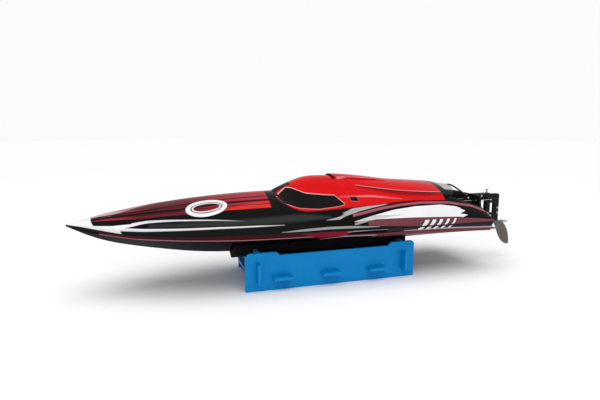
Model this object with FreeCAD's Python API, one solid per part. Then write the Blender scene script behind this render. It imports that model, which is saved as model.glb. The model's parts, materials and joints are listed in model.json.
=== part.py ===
import FreeCAD, Part
import math
import os

from FreeCAD import Vector

# Radio-controlled deep-V racing boat on its slot-together stand, in millimetres.
# X runs aft, so the bow is at -X and the propeller at +X. Port is -Y, starboard +Y and +Z is up.
# The origin is under the middle of the whole object, on the surface the stand rests on.
# Along the boat, distances are written as "aft", measured from the bow tip.

# ---- driving dimensions -------------------------------------------------------------------
OVERALL = 1020.0          # bow tip to the end of the propeller nut
TRANSOM = 888.0           # bow tip to the flat stern
WALL = 2.2                # moulded shell thickness
SHAFT_Z = 83.0            # height of the shaft axis at the propeller
SHAFT_TILT = 1.5          # degrees the shaft falls towards the propeller
CLEAR = 0.35              # gap left between pieces that come apart or move

# Hull lines: (aft, value) pairs, joined by a smooth curve.
KEEL_Z = ((0, 137), (24, 124), (78, 101), (148, 85), (223, 71), (314, 62.5), (430, 61), (600, 63), (888, 66.5))
CHINE_Y = ((0, 0.8), (60, 24), (130, 53), (215, 77), (320, 94), (450, 101), (620, 103), (888, 96))
CHINE_Z = ((0, 138), (60, 122), (130, 114), (215, 110), (320, 107), (450, 106), (620, 100), (888, 90))
SEAM_Y = ((0, 1.6), (60, 33), (130, 64), (215, 89), (320, 106), (450, 114), (620, 116), (888, 106))
SEAM_Z = ((0, 139), (60, 130.5), (130, 123.5), (215, 121), (450, 119), (888, 111))
KNUCKLE_UP = ((0, 1.0), (60, 8), (130, 11), (215, 15), (380, 18), (500, 12), (888, 6))
CROWN_Z = ((0, 141.5), (15, 144.5), (81, 160), (177, 175), (291, 185), (377, 188.5), (600, 188),
           (775, 187), (830, 175), (868, 160), (888, 145))
CROWN_POWER = ((0, 2.0), (200, 1.8), (400, 1.65), (540, 2.4), (620, 3.0), (700, 3.9), (775, 4.0),
               (830, 3.2), (868, 2.8), (888, 1.8))
STATIONS = (0, 22, 60, 110, 170, 240, 320, 400, 480, 560, 640, 675, 710, 742, 775, 802, 830, 868, TRANSOM)

# Canopy lines.
ROOF_Z = ((380, 184), (400, 188), (418, 197), (441, 206), (461, 213), (480, 217), (510, 218),
          (560, 215), (634, 208), (716, 201), (761, 197), (835, 186))
SHOULDER_Y = ((380, 8), (418, 22), (441, 30), (480, 43), (527, 50), (645, 68), (763, 78), (835, 80))
SHOULDER_DROP = ((380, 2), (418, 6), (441, 9), (480, 19), (527, 26), (645, 24), (763, 21), (835, 18))
CANOPY_STATIONS = (380, 400, 420, 441, 461, 480, 505, 535, 580, 640, 675, 710, 742, 775, 802, 835)
HATCH_FRONT = 394.0
HATCH_NOSE = 62.0         # length of the rounded front of the hatch outline
HATCH_SIDE = 88.0         # half width of the hatch
HATCH_SIDE_END = 773.0
HATCH_TAIL = 826.0
HATCH_LIP = 2.0           # height of the hatch edge above the deck
SEAL_LIP = 1.2            # how far the rubber edging hangs below the deck skin

# Stern well, behind the hatch.
WELL_FRONT = 779.0
WELL_BACK = 884.0
WELL_SIDE = 80.0
WELL_FLOOR_Z = 138.0
LATCH_AFT = 772.0
DISH_AFT = 778.0

# Steering.
RUDDER_AFT = 918.0
RUDDER_Y = -40.0
SERVO_AFT = 735.0
TILLER_Z = 152.5          # height of the pushrods
BRACKET_TOP = 166.0
BRACKET_ARM_Z = BRACKET_TOP - 9.0
ARM_SCREWS = (TRANSOM - 4.0, TRANSOM + 8.0)
HOLDER_BACK = 952.0
TANG_FRONT = HOLDER_BACK - 11.0
BLADE_SCREW_AFT = HOLDER_BACK - 5.0
BLADE_SCREWS_Z = (118, 130)
ARM = 14.0                # crank radius of the servo horn and the tiller
ROD_RADIUS = 1.0
PIN_RADIUS = 1.0

# Driveline.
SHAFT_RADIUS = 2.4
RUNNING = 0.05            # radial play of a shaft in its bearing
PROP_AFT = 1000.0
PROP_RADIUS = 21.0

# Stand.
STAND_HALF = 88.0         # outside half width
BOARD = 6.0
STAND_TOP = 78.0
STAND_SADDLE = 71.0
STAND_FRONT = 326.0
STAND_BACK = 698.0
FAR_FRONT = 342.0         # the starboard side board starts further aft
CRADLES = (351.0, 671.0)
SHELF_Z = 26.0
SHELF_TABS = (400.0, 503.0, 606.0)
TAB_OUT = 17.0
FOAM_Z = 48.0             # underside of the foam bed on the middle line
FOAM_EDGE_Z = 70.0        # and at its sides
FOAM_HALF = 62.0
FOAM_FRONT = 312.0
FOAM_BACK = 692.0

# Trim tabs on the transom.
TAB_Z = 91.0
TAB_INNER = 56.0
TAB_OUTER = 88.0


# ---- helpers ------------------------------------------------------------------------------
def X(aft):
    """Frame X of a distance aft of the bow tip."""
    return aft - OVERALL / 2


def at(curve, aft):
    """Value of a (aft, value) curve: a cubic through its points that never overshoots them."""
    xs = [p[0] for p in curve]
    ys = [p[1] for p in curve]
    n = len(xs)
    steps = [(ys[i + 1] - ys[i]) / (xs[i + 1] - xs[i]) for i in range(n - 1)]
    slopes = [steps[0]]
    for i in range(1, n - 1):
        both = steps[i - 1] * steps[i]
        slopes.append(2 * both / (steps[i - 1] + steps[i]) if both > 0 else 0.0)
    slopes.append(steps[-1])
    i = 0
    while i < n - 2 and aft > xs[i + 1]:
        i += 1
    h = xs[i + 1] - xs[i]
    t = (aft - xs[i]) / h
    return (ys[i] * (1 + 2 * t) * (1 - t) ** 2 + slopes[i] * h * t * (1 - t) ** 2
            + ys[i + 1] * t * t * (3 - 2 * t) - slopes[i + 1] * h * t * t * (1 - t))


def box(aft0, aft1, y0, y1, z0, z1):
    return Part.makeBox(aft1 - aft0, y1 - y0, z1 - z0, Vector(X(aft0), y0, z0))


def rod(aft, y, z, radius, length, axis=Vector(1, 0, 0)):
    """Cylinder whose first end is centred on (aft, y, z)."""
    return Part.makeCylinder(radius, length, Vector(X(aft), y, z), axis)


def ring(aft, y, z, inner, outer, length, axis=Vector(1, 0, 0)):
    return rod(aft, y, z, outer, length, axis).cut(rod(aft, y, z, inner, length, axis))


UP = Vector(0, 0, 1)
STARBOARD = Vector(0, 1, 0)


def joined(shapes):
    out = shapes[0]
    for shape in shapes[1:]:
        out = out.fuse(shape)
    return out.removeSplitter()


def prism(points, z0, z1):
    """Upright prism on a plan outline of (aft, y) points."""
    wire = Part.makePolygon([Vector(X(a), y, z0) for a, y in points + points[:1]])
    return Part.Face(wire).extrude(Vector(0, 0, z1 - z0))


def side_plate(points, y0, y1):
    """Plate with a side-view outline of (aft, z) points."""
    wire = Part.makePolygon([Vector(X(a), y0, z) for a, z in points + points[:1]])
    return Part.Face(wire).extrude(Vector(0, y1 - y0, 0))


def rounded(shape, direction, radius, keep):
    """Rounds the edges that run along a direction and whose middle passes the test keep."""
    edges = []
    for e in shape.Edges:
        if len(e.Vertexes) != 2:
            continue
        run = e.Vertexes[1].Point - e.Vertexes[0].Point
        if run.cross(direction).Length < 1e-6 and keep(e.CenterOfMass):
            edges.append(e)
    return shape.makeFillet(radius, edges) if edges else shape


def hose(points, outer, inner=0.0):
    """Tube along straight runs joined by tangent arcs, each as large as its runs allow."""
    pts = [Vector(X(a), y, z) for a, y, z in points]
    edges = []
    start = pts[0]
    for i in range(1, len(pts) - 1):
        back = (pts[i - 1] - pts[i])
        ahead = (pts[i + 1] - pts[i])
        reach = 0.45 * min(back.Length, ahead.Length)
        back.normalize()
        ahead.normalize()
        first = pts[i] + back * reach
        last = pts[i] + ahead * reach
        half = (math.pi - back.getAngle(ahead)) / 2
        radius = reach / math.tan(half)
        middle_way = (back + ahead)
        middle_way.normalize()
        centre = pts[i] + middle_way * math.hypot(reach, radius)
        middle = centre - middle_way * radius
        edges.append(Part.LineSegment(start, first).toShape())
        edges.append(Part.Arc(first, middle, last).toShape())
        start = last
    edges.append(Part.LineSegment(start, pts[-1]).toShape())
    path = Part.Wire(edges)
    along = pts[1] - pts[0]

    def swept(radius):
        circle = Part.Wire(Part.makeCircle(radius, pts[0], along))
        return path.makePipeShell([circle], True, False)
    tube = swept(outer)
    return tube.cut(swept(inner)) if inner else tube


def screw(aft, y, z, radius, length, axis, head=None):
    """Cap screw: its head stands on (aft, y, z) and its shank runs back along the axis."""
    head = head or radius * 1.9
    top = Part.makeCylinder(head, radius * 1.6, Vector(X(aft), y, z), axis)
    shank = Part.makeCylinder(radius, length, Vector(X(aft), y, z), axis * -1)
    socket = Part.makeCylinder(radius * 0.9, radius, Vector(X(aft), y, z) + axis * radius * 0.8, axis)
    return top.fuse(shank).cut(socket)


# ---- hull surfaces ------------------------------------------------------------------------
def crown(aft, y, inset=0.0):
    """Height of the deck at a half breadth y, for the outside or an inset copy of it."""
    edge = at(SEAM_Y, aft) + 1.0 - inset
    low = at(SEAM_Z, aft) + at(KNUCKLE_UP, aft)
    high = at(CROWN_Z, aft) - inset
    share = min(abs(y) / edge, 1.0)
    return low + (high - low) * (1 - share ** at(CROWN_POWER, aft))


def mirrored(half):
    """Port-to-starboard list from points given from the centreline out to starboard."""
    return [(-y, z) for y, z in reversed(half)] + [p for p in half if p[0] > 1e-9]


def section(aft, low, high):
    """Closed section wire: a polygon low on the sides, then an optional spline over the top."""
    edges = []
    for a, b in zip(low, low[1:]):
        edges.append(Part.LineSegment(Vector(X(aft), *a), Vector(X(aft), *b)).toShape())
    if high:
        curve = Part.BSplineCurve()
        curve.interpolate([Vector(X(aft), *p) for p in high])
        edges.append(curve.toShape())
    else:
        edges.append(Part.LineSegment(Vector(X(aft), *low[-1]), Vector(X(aft), *low[0])).toShape())
    return Part.Wire(edges)


CROWN_SHARES = (0.0, 0.3, 0.55, 0.75, 0.9, 1.0)


def deck_section(aft, inset=0.0, rise=0.0):
    """Above the seam: side strips up to the knuckles, then the crowned deck."""
    seam_y = at(SEAM_Y, aft) - inset
    seam_z = at(SEAM_Z, aft) - (2.0 if inset else 0.0)
    edge = at(SEAM_Y, aft) + 1.0 - inset
    top = [(edge * s, crown(aft, edge * s, inset) + rise) for s in CROWN_SHARES]
    knuckle = top[-1]
    low = [(knuckle[0], knuckle[1]), (seam_y, seam_z), (-seam_y, seam_z), (-knuckle[0], knuckle[1])]
    return section(aft, low, mirrored(top))


def hull_section(aft, inset=0.0):
    """Below the seam: V bottom to the chines, then the flared sides."""
    dead = math.atan2(at(CHINE_Z, aft) - at(KEEL_Z, aft), at(CHINE_Y, aft))
    keel = at(KEEL_Z, aft) + inset / math.cos(dead)
    chine_y = at(CHINE_Y, aft) - inset * 1.05
    chine_z = at(CHINE_Z, aft) + inset * 0.55
    seam_y = at(SEAM_Y, aft) - inset
    seam_z = at(SEAM_Z, aft) + (2.0 if inset else 0.0)
    low = [(-seam_y, seam_z), (-chine_y, chine_z), (0, keel), (chine_y, chine_z), (seam_y, seam_z)]
    return section(aft, low, None)


def tilted(shape):
    """Turns a piece drawn along X at the shaft height onto the falling shaft axis."""
    out = shape.copy()
    out.rotate(Vector(X(PROP_AFT), 0, SHAFT_Z), Vector(0, 1, 0), SHAFT_TILT)
    return out


def shaft_z(aft):
    """Height of the shaft axis."""
    return SHAFT_Z + (PROP_AFT - aft) * math.tan(math.radians(SHAFT_TILT))


def bored(shape, aft, radius, length):
    """Cuts a hole along the shaft axis."""
    return shape.cut(tilted(rod(aft, 0, SHAFT_Z, radius, length)))


def loft(wires):
    return Part.makeLoft(wires, True, False)


def inner_stations():
    return [60.0] + [s for s in STATIONS if 60 < s < TRANSOM] + [TRANSOM - WALL]


def hatch_half_width(aft):
    """Half width of the hatch outline at a station: an elliptical nose, then straight sides."""
    ahead = max(HATCH_FRONT + HATCH_NOSE - aft, 0.0) / HATCH_NOSE
    return HATCH_SIDE * math.sqrt(max(1 - ahead * ahead, 0.01))


def roof(aft, y):
    """Height of the canopy between its shoulders."""
    share = abs(y) / at(SHOULDER_Y, aft)
    return at(ROOF_Z, aft) - at(SHOULDER_DROP, aft) * share ** 2.2


def canopy_section(aft, inset=0.0):
    """Canopy: sides that flare to the hatch outline at the deck, shoulders, then the roof."""
    shoulder_y = at(SHOULDER_Y, aft)
    shoulder_z = roof(aft, shoulder_y)
    edge_y = hatch_half_width(aft)
    edge_z = min(crown(aft, edge_y) + HATCH_LIP, shoulder_z - 1.0)
    top = [((shoulder_y - 0.7 * inset) * share, roof(aft, shoulder_y * share) - inset)
           for share in (0.0, 0.4, 0.75, 1.0)]
    rim_y = edge_y + 0.2 * (edge_y - shoulder_y)
    rim_z = edge_z + 0.2 * (edge_z - shoulder_z)
    rim = (rim_y - 0.7 * inset, rim_z - inset)
    foot = (rim_y + 3.0 - inset, 130.0)
    low = [top[-1], rim, foot, (-foot[0], foot[1]), (-rim[0], rim[1]), (-top[-1][0], top[-1][1])]
    return section(aft, low, mirrored(top))


def hatch_plan(inset, z0, z1):
    """Plan outline of the hatch: rounded nose, straight sides and a bowed tail."""
    side = HATCH_SIDE - 0.4 - inset
    front = HATCH_FRONT + inset
    nose = HATCH_FRONT + HATCH_NOSE
    back = HATCH_SIDE_END - inset
    tail = HATCH_TAIL - inset
    points = [(back, -side)]
    steps = 12
    for i in range(steps + 1):
        turn = math.pi * i / steps
        points.append((nose - (nose - front) * math.sin(turn), -side * math.cos(turn)))
    points.append((back, side))
    for i in range(1, 8):
        turn = math.pi * i / 8
        points.append((back + (tail - back) * math.sin(turn), side * math.cos(turn)))
    return prism(points, z0, z1)


def opening_plan(inset, z0, z1):
    """Plan outline of the deck opening under the hatch."""
    side = HATCH_SIDE - 6.0 - inset
    nose = HATCH_FRONT + HATCH_NOSE
    front = HATCH_FRONT + 9.0 + inset
    points = [(WELL_FRONT - 14.0 - inset, -side)]
    for i in range(13):
        turn = math.pi * i / 12
        points.append((nose - (nose - front) * math.sin(turn), -side * math.cos(turn)))
    points.append((WELL_FRONT - 14.0 - inset, side))
    return prism(points, z0, z1)


def well_box(inset):
    return box(WELL_FRONT + inset, WELL_BACK - inset, -WELL_SIDE + inset, WELL_SIDE - inset,
               WELL_FLOOR_Z - (0 if inset else WALL), 230)


# Solids that several sub-parts share.
DECK_OUT = loft([deck_section(s) for s in STATIONS])
DECK_IN = loft([deck_section(s, WALL) for s in inner_stations()])
HULL_OUT = loft([hull_section(s) for s in STATIONS])
HULL_IN = loft([hull_section(s, WALL) for s in inner_stations()])
CANOPY_OUT = loft([canopy_section(s) for s in CANOPY_STATIONS])
CANOPY_IN = loft([canopy_section(s, WALL) for s in CANOPY_STATIONS])


INSIDE = HULL_IN.fuse(DECK_IN)


def fitted(blank):
    """Part of a blank that lies inside the hull, so its edges follow the V bottom."""
    return blank.common(INSIDE)


# ---- hull and deck ------------------------------------------------------------------------
def hull_bottom():
    shell = HULL_OUT.cut(HULL_IN)
    return bored(shell, TRANSOM - 12, 4.0, 24)


def deck_shell():
    shell = DECK_OUT.cut(DECK_IN)
    shell = shell.cut(opening_plan(0, 100, 230))
    shell = shell.cut(well_box(0))
    return shell.cut(box(LATCH_AFT - 3.6, LATCH_AFT + 3.6, -8, 8, 170, 200))


def stern_well():
    """Black tray let into the deck behind the hatch, with holes for the two pushrods."""
    tray = well_box(0).cut(well_box(WALL)).common(DECK_OUT)
    for side in (-1, 1):
        tray = tray.cut(rod(WELL_FRONT - 3, RUDDER_Y + side * ARM, TILLER_Z, 5.0, 12))
    tray = tray.cut(rod(WELL_FRONT + 56, 28, WELL_FLOOR_Z - 6, 3.0, 12, UP))
    return tray


def seam_strip():
    """Black rubbing strip along the joint of hull and deck, one length on each side."""
    half = 1.2
    strips = []
    for side in (-1, 1):
        wires = []
        for s in STATIONS[1:]:
            y = at(SEAM_Y, s) + 0.2
            z = at(SEAM_Z, s)
            below = y - half * (at(SEAM_Y, s) - at(CHINE_Y, s)) / (z - at(CHINE_Z, s))
            above = y + half / at(KNUCKLE_UP, s)
            corners = [(below, z - half), (y + 1.1, z - half), (y + 1.1, z + half), (above, z + half), (y, z)]
            wires.append(section(s, [(side * a, b) for a, b in corners], None))
        strips.append(loft(wires))
    return Part.makeCompound(strips)


def hatch_seal():
    """Rubber edging round the inside of the deck opening, under the hatch."""
    band = opening_plan(0, 100, 230).cut(opening_plan(2.0, 90, 240))
    return band.common(DECK_OUT).cut(DECK_IN.translated(Vector(0, 0, -SEAL_LIP)))


def stern_plate():
    """Upright black plate across the well that stiffens the transom."""
    plate = box(876, 880, -70, 70, WELL_FLOOR_Z, 165)
    plate = rounded(plate, Vector(1, 0, 0), 8, lambda c: c.z > 160)
    for side in (-1, 1):
        hole = box(870, 886, RUDDER_Y + side * ARM - 4.5, RUDDER_Y + side * ARM + 4.5,
                   TILLER_Z - 3.5, TILLER_Z + 3.5)
        plate = plate.cut(hole)
    return plate.cut(box(870, 886, RUDDER_Y - 9, RUDDER_Y + 9, BRACKET_ARM_Z - CLEAR, 170))


# ---- hatch --------------------------------------------------------------------------------
def hatch_block():
    lifted = DECK_OUT.translated(Vector(0, 0, CLEAR))
    return CANOPY_OUT.common(hatch_plan(0, 100, 240)).cut(lifted)


def window_outline():
    """Side-view outline of the side window, which runs forward into the windscreen."""
    side = [(403, 180), (427, 196.5), (437, 196), (460, 187), (500, 183), (521, 181.5), (537, 165.5),
            (522, 162.5), (480, 159.5), (440, 162.5), (412, 171)]
    return side


def hatch_pieces():
    """Hatch shell, its two side windows, windscreen, roof scoop and latch recess."""
    block = hatch_block()
    hollow = CANOPY_IN.common(hatch_plan(WALL, 90, 250))
    shell = block.cut(hollow)
    side = window_outline()
    port_cut = side_plate(side, -120, -16)
    starboard_cut = side_plate(side, 16, 120)
    screen_cut = box(398.5, 438, -16, 16, 150, 240)
    pieces = {
        "side_window_port": shell.common(port_cut),
        "side_window_starboard": shell.common(starboard_cut),
        "windscreen": shell.common(screen_cut),
    }
    shell = shell.cut(port_cut).cut(starboard_cut).cut(screen_cut)
    shell = shell.cut(oval(DISH_AFT, 18.0, 12.0, 170, 60))
    pieces["hatch_shell"] = shell
    return pieces


def roof_scoop():
    """Shallow air scoop on the roof, with its mouth to the front, that fades out aft."""
    wires = []
    for aft, wide, tall in ((532, 25, 3.6), (560, 27, 4.2), (600, 28, 3.4), (635, 27, 2.0), (662, 25, 0.4)):
        top = [(wide * share, roof(aft, wide * share) + tall) for share in (0.0, 0.5, 0.9)]
        low = [top[-1], (wide, roof(aft, wide) - 6), (-wide, roof(aft, wide) - 6), (-top[-1][0], top[-1][1])]
        wires.append(section(aft, low, mirrored(top)))
    mouths = []
    for aft, wide, tall in ((525, 20, 3.0), (545, 19, 2.6), (566, 12, 0.6)):
        top = [(wide * share, roof(aft, wide * share) + tall) for share in (0.0, 0.5, 1.0)]
        low = [top[-1], (wide, roof(aft, wide) - 3), (-wide, roof(aft, wide) - 3), (-top[-1][0], top[-1][1])]
        mouths.append(section(aft, low, mirrored(top)))
    return loft(wires).cut(loft(mouths)).cut(CANOPY_OUT)


def oval(aft, half_long, half_wide, z, height):
    """Upright oval prism centred on the boat's middle line."""
    ellipse = Part.Ellipse(Vector(X(aft), 0, z), half_long, half_wide)
    return Part.Face(Part.Wire([ellipse.toShape()])).extrude(Vector(0, 0, height))


LATCH_SEAT_Z = 189.0      # underside of the latch dish
LATCH_STEM = 2.4


def latch_seat():
    """Oval black dish let into the roof, flush with it, that carries the latch."""
    blank = oval(DISH_AFT, 17.9, 11.9, LATCH_SEAT_Z, 20).common(CANOPY_OUT)
    dish = blank.cut(oval(DISH_AFT, 16.3, 10.3, LATCH_SEAT_Z + 1.2, 20))
    return dish.cut(rod(LATCH_AFT, 0, LATCH_SEAT_Z - 1, LATCH_STEM + RUNNING, 5, UP))


def hatch_latch():
    """Quarter-turn latch: knob with a grip in the dish, stem, and a tongue below the deck.

    At rest the tongue lies across the boat, in line with its slot, so the hatch lifts off.
    """
    knob = rod(LATCH_AFT, 0, LATCH_SEAT_Z + 1.5, 6.2, 1.6, UP)
    grip = box(LATCH_AFT - 1.5, LATCH_AFT + 1.5, -6, 6, LATCH_SEAT_Z + 3.1, LATCH_SEAT_Z + 5.6)
    stem = rod(LATCH_AFT, 0, LATCH_SEAT_Z - 7.4, LATCH_STEM, 10, UP)
    tongue = box(LATCH_AFT - 2.4, LATCH_AFT + 2.4, -6.4, 6.4, LATCH_SEAT_Z - 7.4, LATCH_SEAT_Z - 5.8)
    return joined([knob, grip, stem, tongue])


# ---- driveline ----------------------------------------------------------------------------
MOTOR_FRONT = 640.0
MOTOR_BACK = 705.0
JACKET_OUT = 660.0        # stations of the two jacket nipples
JACKET_IN = 684.0
NIPPLE_TOP = 29.0         # height of the nipples above the shaft axis


def motor_can():
    body = rod(MOTOR_FRONT, 0, SHAFT_Z, 18.0, MOTOR_BACK - MOTOR_FRONT)
    front = rod(MOTOR_FRONT - 5, 0, SHAFT_Z, 11.0, 5)
    return bored(tilted(joined([body, front])), MOTOR_BACK - 30, 2.5 + RUNNING, 34)


def cooling_jacket():
    """Aluminium water jacket round the motor, with two hose nipples on top."""
    jacket = rod(652, 0, SHAFT_Z, 20.6, 40)
    nipples = [rod(aft, 0, SHAFT_Z + 18.5, 2.0, NIPPLE_TOP - 18.5, UP) for aft in (JACKET_OUT, JACKET_IN)]
    jacket = joined([jacket] + nipples).cut(rod(645, 0, SHAFT_Z, 18.0, 60))
    for aft in (JACKET_OUT, JACKET_IN):
        jacket = jacket.cut(rod(aft, 0, SHAFT_Z, 1.0, 40, UP))
    return tilted(jacket)


def motor_mount():
    """Aluminium plate across the V bottom with an angled foot."""
    plate = fitted(box(MOTOR_BACK + 0.6, MOTOR_BACK + 4.6, -27, 27, 50, 114))
    foot = fitted(box(MOTOR_BACK + 4.6, MOTOR_BACK + 14, -27, 27, 50, 72))
    mount = bored(joined([plate, foot]), MOTOR_BACK - 5, 6.0, 16)
    mount = bored(mount, MOTOR_BACK + 4.6, 15.0, 30)
    for side in (-1, 1):
        mount = mount.cut(tilted(rod(MOTOR_BACK - 1, side * 12.5, SHAFT_Z, 1.6, 9)))
    return mount.cut(tilted(rod(MOTOR_BACK - 10, 0, SHAFT_Z, 18.2, 10)))


def motor_shaft():
    return tilted(rod(MOTOR_BACK - 28, 0, SHAFT_Z, 2.5, 45))


def shaft_coupler():
    """Clamp coupler between the motor shaft and the drive shaft."""
    start = MOTOR_BACK + 10.0
    body = rod(start, 0, SHAFT_Z, 6.5, 30)
    flat = box(start + 6, start + 12, -8, 8, SHAFT_Z + 5.2, SHAFT_Z + 9)
    body = body.cut(flat).cut(rod(start - 1, 0, SHAFT_Z, 2.5, 8))
    return tilted(body.cut(rod(start + 7, 0, SHAFT_Z, SHAFT_RADIUS, 30)))


def drive_shaft():
    start = MOTOR_BACK + 17
    return tilted(rod(start, 0, SHAFT_Z, SHAFT_RADIUS, PROP_AFT + 16 - start))


def stuffing_tube():
    return tilted(ring(756, 0, SHAFT_Z, SHAFT_RADIUS + RUNNING, 4.0, 149))


def tube_support():
    return bored(fitted(box(800, 812, -14, 14, 50, shaft_z(806) + 9)), 790, 4.0, 40)


def shaft_strut():
    """Aluminium strut bolted to the transom, with the tail bearing of the propeller shaft."""
    middle = shaft_z(TRANSOM)
    base = box(TRANSOM, TRANSOM + 4, -14, 14, middle - 15, middle + 15)
    base = rounded(base, Vector(1, 0, 0), 4, lambda c: True)
    barrel = tilted(rod(TRANSOM + 22, 0, SHAFT_Z, 6.0, 76))
    web = side_plate([(TRANSOM + 2, middle + 13), (TRANSOM + 30, middle + 9), (TRANSOM + 86, middle + 1),
                      (TRANSOM + 86, middle - 2), (TRANSOM + 2, middle)], -2.2, 2.2)
    strut = bored(joined([base, barrel, web]), TRANSOM + 17, SHAFT_RADIUS + RUNNING, 90)
    strut = bored(strut, TRANSOM - 1, 4.05, 18.2)
    for y in (-9.5, 9.5):
        for z in (-10.5, 10.5):
            strut = strut.cut(rod(TRANSOM - 1, y, middle + z, 1.5, 8))
    return strut


def drive_dog():
    dog = rod(PROP_AFT - 13.5, 0, SHAFT_Z, 5.0, 5)
    slot = box(PROP_AFT - 10.5, PROP_AFT - 8, -1.2, 1.2, SHAFT_Z - 6, SHAFT_Z + 6)
    return tilted(dog.cut(slot).cut(rod(PROP_AFT - 20, 0, SHAFT_Z, SHAFT_RADIUS, 20)))


def propeller():
    """Two-bladed racing propeller: twisted, cupped blades on a short hub."""
    hub = rod(PROP_AFT - 8.5, 0, SHAFT_Z, 4.6, 15)
    blades = []
    for turn in (0, 180):
        wires = []
        for radius, chord, pitch in ((3.2, 7, 62), (8, 12, 50), (13, 15, 38), (18, 11, 30), (PROP_RADIUS, 3.5, 27)):
            c = math.cos(math.radians(pitch))
            s = math.sin(math.radians(pitch))
            corners = []
            for u, v in ((-0.5, 0), (-0.1, 0.055), (0.5, 0.02), (0.45, -0.01), (-0.1, -0.02)):
                forward = chord * (u * s + v * c)
                across = chord * (u * c - v * s)
                corners.append(Vector(X(PROP_AFT - 1) + forward, across, SHAFT_Z + radius))
            wires.append(Part.makePolygon(corners + corners[:1]))
        blade = Part.makeLoft(wires, True, False)
        blade.rotate(Vector(0, 0, SHAFT_Z), Vector(1, 0, 0), turn)
        blades.append(blade)
    prop = joined([hub] + blades)
    return tilted(prop.cut(rod(PROP_AFT - 20, 0, SHAFT_Z, SHAFT_RADIUS, 60)))


def propeller_nut():
    start = PROP_AFT + 6.5
    points = []
    for i in range(6):
        turn = i * math.pi / 3
        points.append(Vector(X(start), 4.2 * math.sin(turn), SHAFT_Z + 4.2 * math.cos(turn)))
    hexagon = Part.Face(Part.makePolygon(points + points[:1])).extrude(Vector(7, 0, 0))
    dome = Part.makeCone(3.6, 1.5, 6.5, Vector(X(start + 7), 0, SHAFT_Z), Vector(1, 0, 0))
    nut = joined([hexagon, dome])
    return tilted(nut.cut(rod(start - 1, 0, SHAFT_Z, SHAFT_RADIUS, 10.5)))


# ---- steering -----------------------------------------------------------------------------
def rudder_servo():
    """Servo under the hatch with its output bearing on top."""
    case = box(SERVO_AFT - 30, SERVO_AFT + 10, RUDDER_Y - 10, RUDDER_Y + 10, 106, 143)
    ears = box(SERVO_AFT - 38, SERVO_AFT + 18, RUDDER_Y - 10, RUDDER_Y + 10, 133, 135.5)
    boss = rod(SERVO_AFT, RUDDER_Y, 143, 6.0, 3, UP)
    servo = joined([case, ears, boss])
    for aft in (SERVO_AFT - 34, SERVO_AFT + 14):
        servo = servo.cut(rod(aft, RUDDER_Y, 130, 1.6, 10, UP))
    return servo.cut(rod(SERVO_AFT, RUDDER_Y, 141, 3.05, 10, UP))


def servo_posts():
    """Two posts moulded on the hull that the servo is screwed to."""
    posts = []
    for aft0, aft1 in ((SERVO_AFT - 38, SERVO_AFT - 30.5), (SERVO_AFT + 10.5, SERVO_AFT + 18)):
        posts.append(fitted(box(aft0, aft1, RUDDER_Y - 8, RUDDER_Y + 8, 50, 133)))
    return Part.makeCompound(posts)


def servo_horn():
    stem = rod(SERVO_AFT, RUDDER_Y, 141.3, 3.0, 12, UP)
    hub = rod(SERVO_AFT, RUDDER_Y, 146.4, 5.0, 4.6, UP)
    arm = box(SERVO_AFT - 3, SERVO_AFT + 3, RUDDER_Y - ARM, RUDDER_Y + ARM, 148, 151)
    tips = [rod(SERVO_AFT, RUDDER_Y + s * ARM, 148, 3.0, 3, UP) for s in (-1, 1)]
    pins = [rod(SERVO_AFT, RUDDER_Y + s * ARM, 151, PIN_RADIUS, 3.2, UP) for s in (-1, 1)]
    return joined([stem, hub, arm] + tips + pins)


def pushrod(side):
    """Straight rod between two flat eyes, from the servo horn to the tiller."""
    y = RUDDER_Y + side * ARM
    wire = rod(SERVO_AFT + 2.5, y, TILLER_Z, ROD_RADIUS, RUDDER_AFT - SERVO_AFT - 5)
    front = rod(SERVO_AFT, y, 151.4, 3.2, 2.2, UP)
    back = rod(RUDDER_AFT, y, 151.4, 3.2, 2.2, UP)
    link = joined([front, wire, back])
    link = link.cut(rod(SERVO_AFT, y, 148, PIN_RADIUS + RUNNING, 10, UP))
    return link.cut(rod(RUDDER_AFT, y, 148, PIN_RADIUS + CLEAR, 10, UP))


def pushrod_seals():
    """Rubber bellows where the two rods come out of the hull."""
    seals = []
    for side in (-1, 1):
        y = RUDDER_Y + side * ARM
        solid = rod(WELL_FRONT - 1, y, TILLER_Z, 4.9, 5)
        for i in range(3):
            solid = solid.fuse(rod(WELL_FRONT + 4 + 4 * i, y, TILLER_Z, 5.4 - 0.3 * i, 2))
            solid = solid.fuse(rod(WELL_FRONT + 6 + 4 * i, y, TILLER_Z, 4.6 - 0.3 * i, 2))
        seals.append(solid.cut(rod(WELL_FRONT - 4, y, TILLER_Z, 3.7, 30)))
    return Part.makeCompound(seals)


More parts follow.
